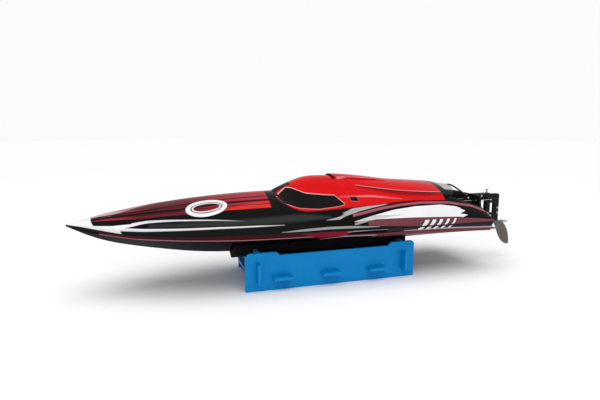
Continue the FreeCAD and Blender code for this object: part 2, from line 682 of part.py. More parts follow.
def rudder_bracket():
    """Black stand-off bracket: transom plate, web, top arm and bottom arm round the pivot."""
    arm_z = BRACKET_ARM_Z
    plate = box(TRANSOM, TRANSOM + 4, RUDDER_Y - 16, RUDDER_Y + 16, 101, 146)
    plate = rounded(plate, Vector(1, 0, 0), 4, lambda c: True)
    web = box(TRANSOM, TRANSOM + 5, RUDDER_Y - 7, RUDDER_Y + 7, 140, BRACKET_TOP)
    top = box(TRANSOM - 14, RUDDER_AFT, RUDDER_Y - 8, RUDDER_Y + 8, arm_z, BRACKET_TOP)
    top = joined([top, rod(RUDDER_AFT, RUDDER_Y, arm_z, 8, 9, UP)])
    bottom = box(TRANSOM + 2, RUDDER_AFT, RUDDER_Y - 6, RUDDER_Y + 6, 105, 112)
    bottom = joined([bottom, rod(RUDDER_AFT, RUDDER_Y, 105, 6, 7, UP)])
    brace = side_plate([(TRANSOM + 2, 142), (TRANSOM + 20, arm_z), (TRANSOM + 2, arm_z)], RUDDER_Y - 3, RUDDER_Y + 3)
    bracket = joined([plate, web, top, bottom, brace])
    bracket = bracket.cut(rod(RUDDER_AFT, RUDDER_Y, 100, 2.0 + RUNNING, 90, UP))
    for y in (-11.5, 11.5):
        for z in (107, 137):
            bracket = bracket.cut(rod(TRANSOM - 1, RUDDER_Y + y, z, 1.5, 8))
    for aft in ARM_SCREWS:
        bracket = bracket.cut(rod(aft, RUDDER_Y - 10, BRACKET_TOP - 4.5, 1.5, 5, STARBOARD))
    return bracket


def hull_screws():
    """The M3 screws of the rudder bracket, the shaft strut and the motor mount."""
    aft_way = Vector(1, 0, 0)
    parts = []
    for y in (-11.5, 11.5):
        for z in (107, 137):
            parts.append(screw(TRANSOM + 4, RUDDER_Y + y, z, 1.5, 4.0, aft_way))
    for aft in ARM_SCREWS:
        parts.append(screw(aft, RUDDER_Y - 8, BRACKET_TOP - 4.5, 1.5, 2.8, Vector(0, -1, 0)))
    for y in (-9.5, 9.5):
        for z in (-10.5, 10.5):
            parts.append(screw(TRANSOM + 4, y, shaft_z(TRANSOM) + z, 1.5, 4.0, aft_way, 2.4))
    for y in (-12.5, 12.5):
        parts.append(tilted(screw(MOTOR_BACK + 5.2, y, SHAFT_Z, 1.5, 5.0, aft_way)))
    return Part.makeCompound(parts)


def rudder_pin():
    """Pivot pin that turns with the rudder: plain stem, collar and a tall capped end on top."""
    pin = rod(RUDDER_AFT, RUDDER_Y, 103.5, 2.0, BRACKET_TOP + 9 - 103.5, UP)
    collar = rod(RUDDER_AFT, RUDDER_Y, BRACKET_TOP + 0.4, 3.6, 1.4, UP)
    head = rod(RUDDER_AFT, RUDDER_Y, BRACKET_TOP + 7.4, 3.4, 2.0, UP)
    return joined([pin, collar, head])


def rudder_holder():
    """Black block that turns on the pin, carries the tiller arms and clamps the blade."""
    top = BRACKET_TOP - 9.4
    barrel = rod(RUDDER_AFT, RUDDER_Y, 112.4, 6.0, top - 112.4, UP)
    clamp = box(RUDDER_AFT + 3, HOLDER_BACK, RUDDER_Y - 3.5, RUDDER_Y + 3.5, 112.4, top)
    lobe = box(RUDDER_AFT + 9, HOLDER_BACK, RUDDER_Y - 3.5, RUDDER_Y + 3.5, top - 2, BRACKET_TOP - 2)
    lobe = rounded(lobe, STARBOARD, 5, lambda c: c.z > top and c.x > X(HOLDER_BACK - 1))
    tail = box(TANG_FRONT - 4, HOLDER_BACK, RUDDER_Y - 3.5, RUDDER_Y + 3.5, 98, 114)
    arms = box(RUDDER_AFT - 3, RUDDER_AFT + 3, RUDDER_Y - ARM, RUDDER_Y + ARM, 148, 151)
    tips = [rod(RUDDER_AFT, RUDDER_Y + s * ARM, 148, 3.0, 3, UP) for s in (-1, 1)]
    pins = [rod(RUDDER_AFT, RUDDER_Y + s * ARM, 151, PIN_RADIUS, 3.2, UP) for s in (-1, 1)]
    holder = joined([barrel, clamp, lobe, tail, arms] + tips + pins)
    holder = holder.cut(box(TANG_FRONT - 0.1, HOLDER_BACK + 1, RUDDER_Y - 1.0, RUDDER_Y + 1.0, 90, 135))
    holder = holder.cut(box(RUDDER_AFT + 9, TANG_FRONT - 3, RUDDER_Y - 5, RUDDER_Y + 5, 118, 142))
    holder = holder.cut(rod(RUDDER_AFT, RUDDER_Y, 100, 2.0, 80, UP))
    for z in BLADE_SCREWS_Z:
        holder = holder.cut(rod(BLADE_SCREW_AFT, RUDDER_Y - 10, z, 1.5, 20, STARBOARD))
    return holder


def rudder_blade():
    """Thin sickle blade, swept aft to its tip, with a tang inside the holder."""
    def bow(points):
        curve = Part.BSplineCurve()
        curve.interpolate([Vector(X(a), RUDDER_Y - 1.0, z) for a, z in points])
        return curve.toShape()
    tip, heel = (984, 37), (990, 38)
    lead = bow([(TANG_FRONT, 97.5), (951, 78), (964, 52), tip])
    trail = bow([heel, (987, 62), (978, 82), (965, 96)])
    corners = [(965, 96), (HOLDER_BACK, 97.5), (HOLDER_BACK, 134.5), (TANG_FRONT, 134.5), (TANG_FRONT, 97.5)]
    edges = [lead, Part.LineSegment(Vector(X(tip[0]), RUDDER_Y - 1.0, tip[1]),
                                    Vector(X(heel[0]), RUDDER_Y - 1.0, heel[1])).toShape(), trail]
    for a, b in zip(corners, corners[1:]):
        edges.append(Part.LineSegment(Vector(X(a[0]), RUDDER_Y - 1.0, a[1]),
                                      Vector(X(b[0]), RUDDER_Y - 1.0, b[1])).toShape())
    blade = Part.Face(Part.Wire(Part.__sortEdges__(edges))).extrude(Vector(0, 2.0, 0))
    for z in BLADE_SCREWS_Z:
        blade = blade.cut(rod(BLADE_SCREW_AFT, RUDDER_Y - 10, z, 1.5, 20, STARBOARD))
    return blade


def rudder_screws():
    parts = []
    for z in BLADE_SCREWS_Z:
        parts.append(screw(BLADE_SCREW_AFT, RUDDER_Y - 3.5, z, 1.5, 7.0, Vector(0, -1, 0)))
    return Part.makeCompound(parts)


def trim_tab(side):
    """Small steel plate behind the transom, bent to the V of the bottom."""
    inner, outer = sorted((side * TAB_INNER, side * TAB_OUTER))
    plate = box(TRANSOM + 1.2, TRANSOM + 24, inner, outer, -0.8, 0.8)
    knuckle = rod(TRANSOM + 3.6, inner, 0, 2.4, 32, STARBOARD)
    plate = joined([plate, knuckle]).cut(rod(TRANSOM + 3.6, inner - 1, 0, 1.0 + RUNNING, 34, STARBOARD))
    return plate.translated(Vector(0, 0, TAB_Z))


def trim_tab_hinges():
    """Hinge lugs of both trim tabs, screwed to the transom, with their pins."""
    parts = []
    for side in (-1, 1):
        inner, outer = sorted((side * TAB_INNER, side * TAB_OUTER))
        pin = rod(TRANSOM + 3.6, inner - 5, TAB_Z, 1.0, outer - inner + 10, STARBOARD)
        pieces = [pin]
        for y in (inner - 5, outer + CLEAR):
            width = 5 - CLEAR
            pieces.append(rod(TRANSOM + 3.6, y, TAB_Z, 2.4, width, STARBOARD))
            pieces.append(box(TRANSOM, TRANSOM + 3.6, y, y + width, TAB_Z - 2.4, TAB_Z + 9))
        parts.append(joined(pieces))
    return Part.makeCompound(parts)


# ---- power and radio ----------------------------------------------------------------------
def battery_tray():
    """Flat tray on two ribs that follow the V bottom."""
    tray = box(424, 582, -50, 50, 90, 93)
    lips = box(424, 582, -50, 50, 93, 99).cut(box(427, 579, -47, 47, 90, 110))
    ribs = [fitted(box(aft, aft + 6, -44, 44, 50, 90)) for aft in (440, 560)]
    return joined([tray, lips] + ribs)


def battery_pack(side):
    inner, outer = sorted((side * 1.0, side * 46.0))
    pack = box(432, 570, inner, outer, 93, 120)
    return rounded(pack, Vector(1, 0, 0), 4, lambda c: True)


def battery_straps():
    straps = []
    for aft in (455, 535):
        outer = box(aft, aft + 16, -46.8, 46.8, 99.2, 120.8)
        band = outer.cut(box(aft - 1, aft + 17, -46.0, 46.0, 90, 120.0))
        straps.append(band)
    return Part.makeCompound(straps)


def speed_controller():
    case = box(590, 634, -26, 26, 112, 130)
    case = rounded(case, UP, 4, lambda c: True)
    legs = [fitted(box(aft, aft + 6, -24, 24, 50, 112)).cut(box(580, 660, -12, 12, 50, 108)) for aft in (594, 624)]
    return joined([case] + legs)


def controller_cooler():
    """Water-cooled plate on the speed controller, with two nipples."""
    plate = box(596, 628, -20, 20, 130, 136)
    nipples = [ring(606, y, 136, 1.0, 2.0, 8, UP) for y in (-12, 12)]
    fins = [box(612 + 4 * i, 613.5 + 4 * i, -18, 18, 136, 139) for i in range(4)]
    return joined([plate] + nipples + fins)


def receiver_box():
    case = box(711, 755, 22, 62, 112, 134)
    case = rounded(case, UP, 3, lambda c: True)
    legs = [fitted(box(aft, aft + 5, 26, 58, 50, 112)) for aft in (712, 743)]
    return joined([case] + legs)


def receiver_lid():
    lid = box(710, 756, 21, 63, 134, 137)
    return rounded(lid, UP, 3, lambda c: True)


def power_leads():
    """Three motor leads and the two battery leads, held between their ends."""
    leads = []
    for y in (-7.0, 0.0, 7.0):
        start_z = shaft_z(MOTOR_FRONT - 5) - 1.0
        leads.append(hose([(MOTOR_FRONT - 5.3, y * 0.6, start_z), (628, y * 0.8, start_z),
                           (617, y, 97), (616, y, 111.8)], 1.6))
    for y in (-18.0, 18.0):
        leads.append(hose([(570.4, y, 113), (577, y, 113.5), (583, y, 117), (590, y, 117)], 2.0))
    return Part.makeCompound(leads)


# ---- cooling water ------------------------------------------------------------------------
GLAND = (WELL_FRONT + 56, 28.0)
INLET = (876.0, -20.0, 159.0)
PICKUP_Y = -65.0          # clear of the rudder at full lock


def water_inlet():
    """Slanted nipple on the stern plate that the cooling hose pushes onto."""
    forward = Vector(-math.cos(math.radians(35)), 0, math.sin(math.radians(35)))
    start = Vector(X(INLET[0]), INLET[1], INLET[2])
    spigot = Part.makeCylinder(1.5, 9, start - forward * 1.5, forward)
    flange = Part.makeCylinder(4.0, 1.5, Vector(X(INLET[0] - 1.5), INLET[1], INLET[2]), Vector(1, 0, 0))
    cut = box(INLET[0], INLET[0] + 10, -40, 0, 140, 180)
    return joined([spigot, flange]).cut(cut)


def hose_gland():
    cap = ring(GLAND[0], GLAND[1], WELL_FLOOR_Z, 2.0, 5.0, 5.0, UP)
    neck = ring(GLAND[0], GLAND[1], WELL_FLOOR_Z - 5, 2.0, 3.0, 5.0, UP)
    return joined([cap, neck])


def stern_hose():
    """Cooling hose that arches from the gland in the well over to the nipple on the stern plate."""
    slope = math.tan(math.radians(35))
    last = (INLET[0] - 3.5, INLET[1], INLET[2] + 3.5 * slope)
    before = (INLET[0] - 14, INLET[1], INLET[2] + 14 * slope)
    return hose([(GLAND[0], GLAND[1], WELL_FLOOR_Z - 5), (GLAND[0], GLAND[1], 162), (839, 22, 181),
                 (848, 4, 184.5), before, last], 2.0, 1.5)


def pickup_tube():
    """Thin steel water pickup that comes out of the transom and slants down beside the rudder."""
    return hose([(TRANSOM, PICKUP_Y, 126), (TRANSOM + 14, PICKUP_Y, 126), (TRANSOM + 28, PICKUP_Y, 109),
                 (TRANSOM + 34, PICKUP_Y, 98)], 1.2)


def inner_hoses():
    """Hoses inside the hull: gland to motor jacket, jacket to controller, controller to outlet."""
    low = shaft_z(JACKET_IN) + NIPPLE_TOP
    first = hose([(GLAND[0], GLAND[1], WELL_FLOOR_Z - 5), (GLAND[0], GLAND[1], 122), (GLAND[0] - 12, 22, 112),
                  (GLAND[0] - 40, 16, 110), (748, 10, 114), (712, 3, 128), (JACKET_IN + 1.0, 0, 133), (JACKET_IN + 0.9, 0, low)], 1.9)
    second = hose([(JACKET_OUT + 0.9, 0, low + 0.7), (JACKET_OUT + 1.2, 0, 136), (648, 4, 144), (630, 8, 149), (612, 11, 151),
                   (606, 12, 150), (606, 12, 144)], 1.9)
    third = hose([(606, -12, 144), (606, -12, 151), (618, -22, 153), (640, -40, 148), (668, -62, 140),
                  (700, -80, 132), (726, -94, 128), (740, -105, 127)], 1.9)
    return Part.makeCompound([first, second, third])


# ---- stand --------------------------------------------------------------------------------
def stand_side(side):
    """Long side board with a saddle cut-out and slots for the tabs of the other boards."""
    front = STAND_FRONT if side < 0 else FAR_FRONT
    step = STAND_TOP - STAND_SADDLE
    outline = [(front, 0), (STAND_BACK, 0), (STAND_BACK, STAND_TOP), (636 + step, STAND_TOP), (636, STAND_SADDLE),
               (396, STAND_SADDLE), (396 - step, STAND_TOP), (front, STAND_TOP)]
    inner, outer = sorted((side * (STAND_HALF - BOARD), side * STAND_HALF))
    board = side_plate(outline, inner, outer)
    board = rounded(board, STARBOARD, 11, lambda c: c.z > 70 and c.x < X(front + 1))
    board = rounded(board, STARBOARD, 7, lambda c: c.z > 70 and c.x > X(STAND_BACK - 1))
    gap = 0.2
    for aft in CRADLES:
        board = board.cut(box(aft - BOARD / 2 - gap, aft + BOARD / 2 + gap, -200, 200, 18 - gap, 58 + gap)
                          .common(box(0, 1020, inner - 1, outer + 1, 0, 100)))
    for aft in SHELF_TABS:
        board = board.cut(box(aft - 19 - gap, aft + 19 + gap, inner - 1, outer + 1,
                              SHELF_Z - BOARD / 2 - gap, SHELF_Z + BOARD / 2 + gap))
    return board


def cradle(aft):
    """Cross board notched for the foam bed, with a tab through each side board."""
    inside = STAND_HALF - BOARD
    board = box(aft - BOARD / 2, aft + BOARD / 2, -inside + 0.1, inside - 0.1, 0, 80)
    board = joined([board, box(aft - BOARD / 2, aft + BOARD / 2, -STAND_HALF - TAB_OUT, STAND_HALF + TAB_OUT, 18, 58)])
    side = FOAM_HALF + 0.2
    notch = [section(s, [(0, FOAM_Z), (side, FOAM_EDGE_Z), (side, 100), (-side, 100), (-side, FOAM_EDGE_Z)], None)
             for s in (aft - BOARD, aft + BOARD)]
    board = board.cut(loft(notch))
    shelf_slot = box(aft - BOARD, aft + BOARD, -inside + 20, inside - 20, SHELF_Z - BOARD / 2 - 0.2,
                     SHELF_Z + BOARD / 2 + 0.2)
    return board.cut(shelf_slot)


def stand_shelf():
    """Level board that ties the sides and cradles together."""
    inside = STAND_HALF - BOARD
    shelf = box(CRADLES[0] + BOARD / 2 + 0.2, CRADLES[1] - BOARD / 2 - 0.2, -inside + 0.1, inside - 0.1,
                SHELF_Z - BOARD / 2, SHELF_Z + BOARD / 2)
    ends = box(CRADLES[0] - 14, CRADLES[1] + 14, -inside + 20.3, inside - 20.3, SHELF_Z - BOARD / 2, SHELF_Z + BOARD / 2)
    tabs = [box(aft - 19, aft + 19, -STAND_HALF - TAB_OUT, STAND_HALF + TAB_OUT, SHELF_Z - BOARD / 2,
                SHELF_Z + BOARD / 2) for aft in SHELF_TABS]
    return joined([shelf, ends] + tabs)


def foam_bed():
    """Long block of black foam let into both cradles, cut to the V of the bottom."""
    stations = [FOAM_FRONT, 400.0, 500.0, 600.0, FOAM_BACK]
    wires = []
    for s in stations:
        slope = (at(CHINE_Z, s) - at(KEEL_Z, s)) / at(CHINE_Y, s)
        low = at(KEEL_Z, s) - CLEAR
        high = low + FOAM_HALF * slope
        wires.append(section(s, [(0, low), (FOAM_HALF, high), (FOAM_HALF, FOAM_EDGE_Z), (0, FOAM_Z),
                                 (-FOAM_HALF, FOAM_EDGE_Z), (-FOAM_HALF, high)], None))
    return loft(wires).cut(HULL_OUT.translated(Vector(0, 0, -CLEAR)))


# ---- write the sub-parts ------------------------------------------------------------------
def main():
    os.makedirs("parts", exist_ok=True)
    nodes = {
        "hull_bottom": hull_bottom(),
        "deck_shell": deck_shell(),
        "stern_well": stern_well(),
        "seam_strip": seam_strip(),
        "hatch_seal": hatch_seal(),
        "stern_plate": stern_plate(),
        "roof_scoop": roof_scoop(),
        "hatch_latch": hatch_latch(),
        "latch_seat": latch_seat(),
        "motor_can": motor_can(),
        "cooling_jacket": cooling_jacket(),
        "motor_mount": motor_mount(),
        "motor_shaft": motor_shaft(),
        "shaft_coupler": shaft_coupler(),
        "drive_shaft": drive_shaft(),
        "stuffing_tube": stuffing_tube(),
        "tube_support": tube_support(),
        "shaft_strut": shaft_strut(),
        "drive_dog": drive_dog(),
        "propeller": propeller(),
        "propeller_nut": propeller_nut(),
        "rudder_servo": rudder_servo(),
        "servo_posts": servo_posts(),
        "servo_horn": servo_horn(),
        "pushrod_port": pushrod(-1),
        "pushrod_starboard": pushrod(1),
        "pushrod_seals": pushrod_seals(),
        "rudder_bracket": rudder_bracket(),
        "hull_screws": hull_screws(),
        "rudder_pin": rudder_pin(),
        "rudder_holder": rudder_holder(),
        "rudder_blade": rudder_blade(),
        "rudder_screws": rudder_screws(),
        "trim_tab_port": trim_tab(-1),
        "trim_tab_starboard": trim_tab(1),
        "trim_tab_hinges": trim_tab_hinges(),
        "battery_tray": battery_tray(),
        "battery_pack_port": battery_pack(-1),
        "battery_pack_starboard": battery_pack(1),
        "battery_straps": battery_straps(),
        "speed_controller": speed_controller(),
        "controller_cooler": controller_cooler(),
        "receiver_box": receiver_box(),
        "receiver_lid": receiver_lid(),
        "power_leads": power_leads(),
        "water_inlet": water_inlet(),
        "hose_gland": hose_gland(),
        "stern_hose": stern_hose(),
        "pickup_tube": pickup_tube(),
        "inner_hoses": inner_hoses(),
        "stand_side_port": stand_side(-1),
        "stand_side_starboard": stand_side(1),
        "front_cradle": cradle(CRADLES[0]),
        "rear_cradle": cradle(CRADLES[1]),
        "stand_shelf": stand_shelf(),
        "foam_bed": foam_bed(),
    }
    nodes.update(hatch_pieces())
    for name, shape in nodes.items():
        shape.exportStep(f"parts/{name}.step")
        size = shape.optimalBoundingBox()
        print(f"{name:24s} solids {len(shape.Solids)} valid {shape.isValid()} volume {shape.Volume / 1000:8.2f} cm3"
              f"  x {size.XMin:7.1f} {size.XMax:7.1f}  y {size.YMin:6.1f} {size.YMax:6.1f}"
              f"  z {size.ZMin:6.1f} {size.ZMax:6.1f}")


main()
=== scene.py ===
# %% [markdown]
# # A radio-controlled racing boat on its stand
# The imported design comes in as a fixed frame, and this lesson gives it paint, metal, rubber and light.
# Lengths are in metres, with +X aft along the boat, +Y to starboard and +Z up.
# The frame is measured before anything is added, so that the finished looks can be held against it.

# %% Load the frame
import json
import math

import bpy
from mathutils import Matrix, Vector


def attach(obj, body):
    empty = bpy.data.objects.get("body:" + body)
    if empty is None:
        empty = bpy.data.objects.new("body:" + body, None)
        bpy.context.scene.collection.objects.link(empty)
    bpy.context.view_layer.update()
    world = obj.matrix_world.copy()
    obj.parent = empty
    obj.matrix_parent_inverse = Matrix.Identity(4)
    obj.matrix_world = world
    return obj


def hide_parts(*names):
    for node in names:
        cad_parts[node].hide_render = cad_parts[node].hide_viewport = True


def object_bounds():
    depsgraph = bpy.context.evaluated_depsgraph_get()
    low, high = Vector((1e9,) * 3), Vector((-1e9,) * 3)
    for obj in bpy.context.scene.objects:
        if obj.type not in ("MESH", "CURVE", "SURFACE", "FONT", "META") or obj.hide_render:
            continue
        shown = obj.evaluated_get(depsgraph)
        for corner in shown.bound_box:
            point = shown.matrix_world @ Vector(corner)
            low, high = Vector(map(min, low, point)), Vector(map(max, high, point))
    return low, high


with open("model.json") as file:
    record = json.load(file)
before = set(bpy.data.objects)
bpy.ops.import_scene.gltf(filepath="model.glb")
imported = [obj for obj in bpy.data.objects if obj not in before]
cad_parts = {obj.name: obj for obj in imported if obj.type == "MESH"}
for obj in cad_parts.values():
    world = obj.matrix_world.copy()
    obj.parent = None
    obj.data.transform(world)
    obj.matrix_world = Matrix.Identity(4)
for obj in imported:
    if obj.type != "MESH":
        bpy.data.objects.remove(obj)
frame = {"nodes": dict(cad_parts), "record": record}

nodes = frame["nodes"]
design_low, design_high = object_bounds()
print("design box", [round(v, 3) for v in (*design_low, *design_high)])

# %% [markdown]
# ## Sums on sockets
# Paint on a boat is mostly arithmetic: a stripe is where the height lies between two curves.
# Wiring Math nodes by hand is slow to read, so a small class wraps a socket and lets Python's own
# signs add the nodes. Every other node comes from Nodes.add, settings first and sockets second.

# %% Three helper classes: a value, a node tree and a finish
class Value:
    """A number that varies over the surface."""

    def __init__(self, finish, socket):
        self.finish, self.socket = finish, socket

    def maths(self, operation, *terms, clamp=False):
        settings = {"operation": operation, "use_clamp": clamp}
        node = self.finish.add("Math", settings, dict(enumerate(terms)))
        return Value(self.finish, node.outputs[0])

    def __add__(self, other):
        return self.maths("ADD", self, other)

    __radd__ = __add__

    def __sub__(self, other):
        return self.maths("SUBTRACT", self, other)

    def __rsub__(self, other):
        return self.maths("SUBTRACT", other, self)

    def __mul__(self, other):
        return self.maths("MULTIPLY", self, other)

    __rmul__ = __mul__

    def __truediv__(self, other):
        return self.maths("DIVIDE", self, other)

    def __abs__(self):
        return self.maths("ABSOLUTE", self)

    def root(self):
        return self.maths("SQRT", self)

    def clamped(self):
        return self.maths("ADD", self, 0.0, clamp=True)

    def above(self, other, soft=0.5):
        """1 where this is larger than other, with a blend soft millimetres wide."""
        return ((self - other) / soft + 0.5).clamped()


class Nodes:
    """A node tree, with one way to add a node and one way to feed its sockets."""

    def __init__(self, tree):
        self.tree = tree

    def feed(self, node, sockets):
        for name, value in sockets.items():
            socket = node.inputs[name]
            if isinstance(value, Value):
                value = value.socket
            if isinstance(value, bpy.types.NodeSocket):
                self.tree.links.new(value, socket)
            elif isinstance(value, tuple) and len(value) == 3 and socket.type == "RGBA":
                socket.default_value = (*value, 1.0)
            else:
                socket.default_value = value

    def add(self, kind, settings=None, sockets=None):
        node = self.tree.nodes.new("ShaderNode" + kind)
        for name, value in (settings or {}).items():
            if name == "points":
                self.bend(node.mapping, value)
            else:
                setattr(node, name, value)
        self.feed(node, sockets or {})
        return node

    @staticmethod
    def bend(mapping, points):
        """Puts a Float Curve through points that lie between 0 and 1."""
        curve = mapping.curves[0]
        while len(curve.points) < len(points):
            curve.points.new(0.5, 0.5)
        for knot, place in zip(curve.points, points):
            knot.location = place
            knot.handle_type = "VECTOR"
        mapping.update()


class Finish(Nodes):
    """One material: a Principled shader and what is laid in front of it."""

    def __init__(self, name, sockets):
        self.material = bpy.data.materials.new(name)
        self.material.use_nodes = True
        super().__init__(self.material.node_tree)
        self.shader = self.tree.nodes["Principled BSDF"]
        self.feed(self.shader, sockets)

    def noise(self, scale, detail=2.0, drawn=(1.0, 1.0, 1.0)):
        place = self.add("TexCoord").outputs["Object"]
        spread = self.add("VectorMath", {"operation": "MULTIPLY"}, {0: place, 1: drawn}).outputs[0]
        made = self.add("TexNoise", None, {"Vector": spread, "Scale": scale, "Detail": detail})
        return Value(self, made.outputs[0])

    def layer(self, under, over, cover):
        """Colour over laid on colour under where the mask cover is 1."""
        mix = self.add("Mix", {"data_type": "RGBA"}, {"Factor": cover, 6: under, 7: over})
        return mix.outputs[2]

    def raised(self, height, distance, strength=0.3):
        bump = self.add("Bump", None, {"Height": height, "Distance": distance, "Strength": strength})
        self.feed(self.shader, {"Normal": bump.outputs[0]})


# %% [markdown]
# ## The everyday finishes
# Most of the boat is metal, moulded plastic or rubber. Each real one is uneven in its own way: turned
# aluminium has fine lines, moulded plastic a spark-eroded grain, rubber a dusty bloom.
# One recipe covers them. Its controls are how patchy the colour is, how fine and how deep the grain is,
# and whether the grain is drawn out along one direction. The gloss wanders with the same noise.

# %% A recipe for everyday finishes
def everyday(name, colour, rough, metal=0.0, patch=0.25, grain=900.0, depth=0.00004,
             drawn=(1, 1, 1), coat=0.0):
    finish = Finish(name, {"Metallic": metal, "Coat Weight": coat, "Coat Roughness": 0.08,
                           "Specular IOR Level": 0.12})
    clouds = finish.noise(38.0, 3.0)
    fine = finish.noise(grain, 2.0, drawn)
    darker = tuple(c * (1.0 - patch) for c in colour)
    lighter = tuple(min(c * (1.0 + patch) + 0.004, 1.0) for c in colour)
    shade = (clouds * 0.6 + fine * 0.4 - 0.2).clamped()
    finish.feed(finish.shader, {"Base Color": finish.layer(darker, lighter, shade)})
    finish.feed(finish.shader, {"Roughness": (rough + (clouds - 0.5) * 0.22 + (fine - 0.5) * 0.12).clamped()})
    finish.raised(fine, depth)
    return finish.material


ALONG = (0.06, 1.0, 1.0)  # lines that run along the boat
SHEET = (0.3, 1, 0.1)  # rolling lines on upright sheet
finishes = {
    "black_plastic": everyday("satin black moulding", (0.012, 0.012, 0.013), 0.38),
    "servo_case": everyday("servo case plastic", (0.014, 0.014, 0.016), 0.45, grain=1400),
    "grey_case": everyday("grey moulding", (0.09, 0.09, 0.1), 0.5),
    "black_rubber": everyday("black rubber", (0.012, 0.012, 0.012), 0.62, patch=0.5, grain=500),
    "foam": everyday("closed cell foam", (0.006, 0.006, 0.0065), 0.92, patch=0.6, grain=700, depth=0.0005),
    "blue_board": everyday("blue acrylic board", (0.0, 0.25, 0.62), 0.34, patch=0.08, grain=120),
    "black_anodised": everyday("black anodised aluminium", (0.016, 0.016, 0.018), 0.36, 0.6, 0.4, 700,
                               drawn=ALONG),
    "bare_aluminium": everyday("turned aluminium", (0.66, 0.67, 0.69), 0.3, 1.0, 0.15, 700, drawn=ALONG),
    "red_anodised": everyday("red anodised jacket", (0.42, 0.01, 0.012), 0.3, 0.9, 0.2, 800, drawn=ALONG),
    "steel": everyday("ground steel rod", (0.5, 0.5, 0.51), 0.24, 1.0, 0.2, 900, drawn=ALONG),
    "stainless": everyday("dull stainless sheet", (0.16, 0.145, 0.125), 0.42, 0.8, 0.3, 500, drawn=SHEET),
    "polished": everyday("polished bronze-nickel", (0.7, 0.69, 0.67), 0.12, 1.0, 0.1, 600, drawn=ALONG),
    "brass_tube": everyday("drawn brass tube", (0.6, 0.4, 0.14), 0.28, 1.0, 0.2, 800, drawn=ALONG),
    "screw_steel": everyday("screw steel", (0.4, 0.4, 0.41), 0.3, 1.0, 0.3, 1500),
    "silicone": everyday("dark silicone hose", (0.05, 0.05, 0.052), 0.3, 0.0, 0.3, 400, coat=0.3),
    "battery_wrap": everyday("battery shrink wrap", (0.015, 0.06, 0.24), 0.22, 0.0, 0.3, 150, 0.0003),
    "lead_red": everyday("red silicone lead", (0.3, 0.01, 0.01), 0.4),
    "dark_glass": everyday("smoked window", (0.006, 0.006, 0.006), 0.07, 0.0, 0.4, 60, 0.00001),
}
print("everyday finishes", len(finishes))

# %% [markdown]
# ## Painting by the boat's own measures
# The paint scheme is drawn as a sign painter lays it out: so far aft of the bow tip, so far out from the
# middle line, so high above the bench. Those three numbers, in millimetres, come from Object coordinates.
# Out is taken without its sign, so both sides get the same scheme, mirrored.
# A curve in the scheme is a Float Curve through a few marks; its straight runs suit masked paint.
# Clear coat shines hardest at a shallow angle, so its weight rises with the surface's turn away.

# %% The painter's measures
MM = 1000.0  # millimetres in a metre
LONG = 1000.0  # what a curve's 1 stands for along the boat
TALL = 250.0  # and what it stands for across or upwards
COAT_FACE_ON = 0.08  # how much clear coat shows from straight ahead


def shifted(marks, by):
    """The same marks moved by one amount, or by one amount each."""
    amounts = by if isinstance(by, list) else [by] * len(marks)
    return [(aft, mark + amount) for (aft, mark), amount in zip(marks, amounts)]


class Scheme(Finish):
    """Gloss paint whose colours are laid on one after another."""

    def __init__(self, name, base, gloss=0.16, shine=0.9, base_shine=0.06):
        super().__init__(name, {"Coat Roughness": 0.03, "Specular IOR Level": base_shine})
        edge = Value(self, self.add("LayerWeight", None, {"Blend": 0.5}).outputs["Facing"])
        self.feed(self.shader, {"Coat Weight": ((edge * edge * edge + COAT_FACE_ON) * shine).clamped()})
        place = self.add("SeparateXYZ", None, {0: self.add("TexCoord").outputs["Object"]})
        x, y, z = (Value(self, socket) for socket in place.outputs)
        self.aft = (x - design_low.x) * MM
        self.out = abs(y * MM)
        self.up = z * MM
        facing = self.add("SeparateXYZ", None, {0: self.add("NewGeometry").outputs["Normal"]})
        self.facing_up = Value(self, facing.outputs[2])
        self.colour = base
        self.gloss = gloss

    def line(self, marks, along=None, span=TALL, reach=LONG):
        """Height, or another measure, of a curve through (aft, height) marks."""
        along = self.aft if along is None else along
        points = [(a / reach, b / span) for a, b in marks]
        curve = self.add("FloatCurve", {"points": points}, {"Value": along / reach})
        return Value(self, curve.outputs[0]) * span

    def between(self, measure, lower, upper, soft=0.7):
        return measure.above(lower, soft) * (upper - measure).above(0.0, soft)

    def stretch(self, start, end, soft=1.0):
        """1 from one distance aft to another."""
        return self.between(self.aft, start, end, soft)

    def lay(self, colour, cover):
        self.colour = self.layer(self.colour, colour, cover)

    def stripe(self, colour, marks, half, measure=None, soft=0.7, share=1.0):
        """A line of colour along marks, half its width to each side."""
        halves = half if isinstance(half, list) else [half] * len(marks)
        lower = shifted(marks, [-h for h in halves])
        self.band(colour, lower, shifted(marks, halves), measure, soft, share)

    def band(self, colour, lower, upper, measure=None, soft=0.7, share=1.0):
        """Lays a colour between two curves of marks, over the distance that the marks span."""
        measure = self.up if measure is None else measure
        cover = self.between(measure, self.line(lower), self.line(upper), soft)
        cover = cover * self.stretch(lower[0][0], lower[-1][0], 1.0)
        self.lay(colour, cover * share)

    def dry(self):
        """Closes the scheme with clear coat, a faint orange peel and thin patches."""
        peel = self.noise(260.0, 1.0)
        thin = self.noise(24.0, 4.0)
        patchy = self.layer(self.colour, (0.0, 0.0, 0.0), (thin - 0.4).clamped() * 0.15)
        self.feed(self.shader, {"Base Color": patchy, "Roughness": self.gloss + thin * 0.12})
        self.raised(peel, 0.00002, 0.25)
        return self.material


